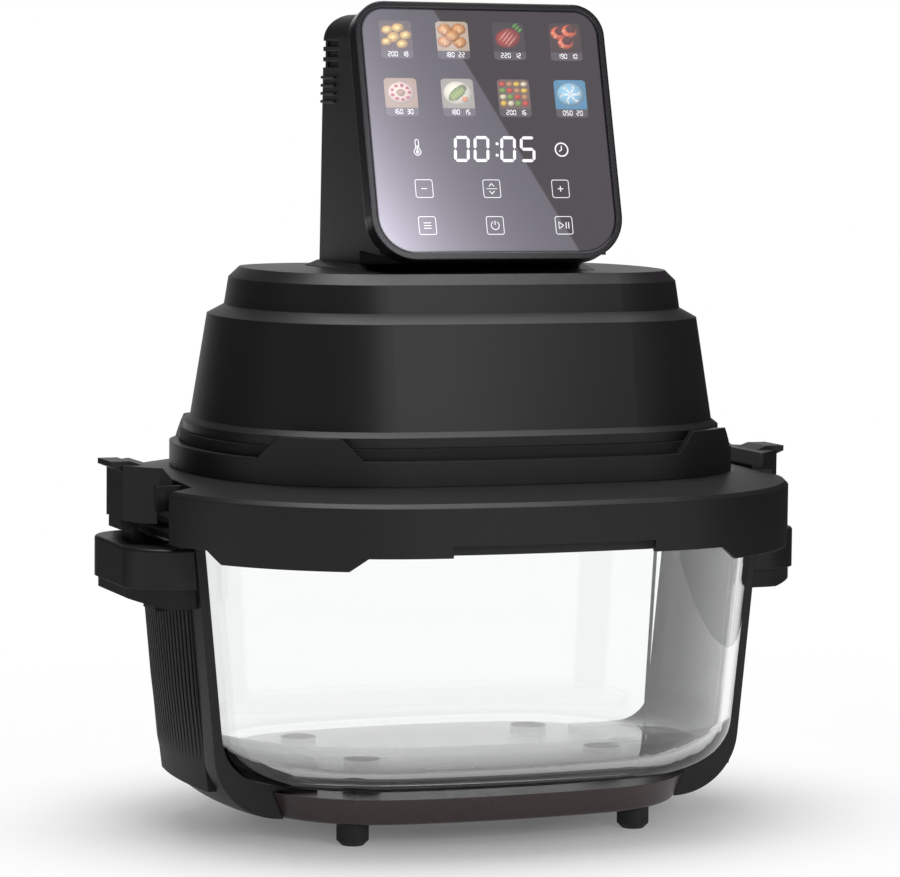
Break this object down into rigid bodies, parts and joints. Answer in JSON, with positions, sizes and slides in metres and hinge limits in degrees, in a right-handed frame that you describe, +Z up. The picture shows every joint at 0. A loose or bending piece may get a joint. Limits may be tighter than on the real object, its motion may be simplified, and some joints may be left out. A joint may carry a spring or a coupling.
{
  "type": "glass air fryer",
  "caption": "Countertop air fryer: clear rounded glass bowl in a footed cradle with side handles, lift-off stepped head with side latches and a tilted touch panel.",
  "frame": {"origin": "middle of the footprint, on the surface the feet stand on", "axes": "+Z up, -Y to the front (the touch panel's side), +X to the right as seen from the front"},
  "size_m": [0.351, 0.278, 0.3967],
  "materials": {
    "glass_clear": "clear polished glass",
    "glass_dark": "glossy black touch glass",
    "black_satin": "fine satin moulding",
    "black_matte": "matte moulding",
    "grey_satin": "satin dark grey moulding",
    "rubber_dark": "soft matte",
    "steel": "plain zinc-plated",
    "aluminium": "bright pressed sheet",
    "element_steel": "dull sheath",
    "motor_paint": "plain",
    "ceramic": "ceramic white",
    "board": "green board",
    "ribbon": "plain grey"
  },
  "bodies": {
    "cradle": {"base_tray": "black_satin", "feet": "rubber_dark", "foot_screws": "steel", "tray_screws": "steel", "bowl_pads": "rubber_dark", "side_frame_left": "black_satin", "side_frame_right": "black_satin", "side_cover_left": "black_matte", "side_cover_right": "black_matte", "handle_left": "black_satin", "handle_right": "black_satin", "handle_cover_left": "black_matte", "handle_cover_right": "black_matte", "handle_screws": "steel", "catch_left": "black_satin", "catch_right": "black_satin"},
    "bowl": {"glass_bowl": "glass_clear", "rim_gasket": "rubber_dark"},
    "head": {"lid": "black_satin", "collar": "grey_satin", "housing_band": "black_matte", "upper_housing": "grey_satin", "housing_screws": "steel", "cord_gland": "black_satin", "heat_dish": "aluminium", "dish_screws": "steel", "fan_guard": "steel", "heating_element": "element_steel", "element_clips": "steel", "terminal_bushes": "ceramic", "thermostat": "ceramic", "motor_mount": "steel", "motor": "motor_paint", "motor_screws": "steel", "power_board": "board", "board_standoffs": "ceramic", "tower_column": "grey_satin", "tower_rear_cover": "black_matte", "rear_cover_screws": "steel", "tower_screws": "steel", "screen_bezel": "grey_satin", "touch_glass": "glass_dark", "display_board": "board", "ribbon_cable": "ribbon", "latch_pins": "steel", "latch_springs": "steel"},
    "rotor": {"circulation_fan": "steel", "cooling_fan": "aluminium", "motor_shaft": "steel", "fan_nut": "steel"},
    "latch_left": {"latch_left": "black_satin"},
    "latch_right": {"latch_right": "black_satin"}
  },
  "joints": [
    {"name": "bowl_lift", "type": "slide", "parent": "cradle", "child": "bowl", "axis": [0, 0, 1], "range_m": [0, 0.14]},
    {"name": "head_lift", "type": "slide", "parent": "bowl", "child": "head", "axis": [0, 0, 1], "range_m": [0, 0.3]},
    {"name": "latch_left_hinge", "type": "hinge", "parent": "head", "child": "latch_left", "pos_m": [-0.156, 0, 0.164], "axis": [0, 1, 0], "range_deg": [0, 35], "stiffness_Nm_per_rad": 0.05, "springref_deg": -11.46},
    {"name": "latch_right_hinge", "type": "hinge", "parent": "head", "child": "latch_right", "pos_m": [0.156, 0, 0.164], "axis": [0, -1, 0], "range_deg": [0, 35], "stiffness_Nm_per_rad": 0.05, "springref_deg": -11.46},
    {"name": "fan_spin", "type": "hinge", "parent": "head", "child": "rotor", "pos_m": [0, 0, 0.2], "axis": [0, 0, 1], "continuous": true}
  ]
}
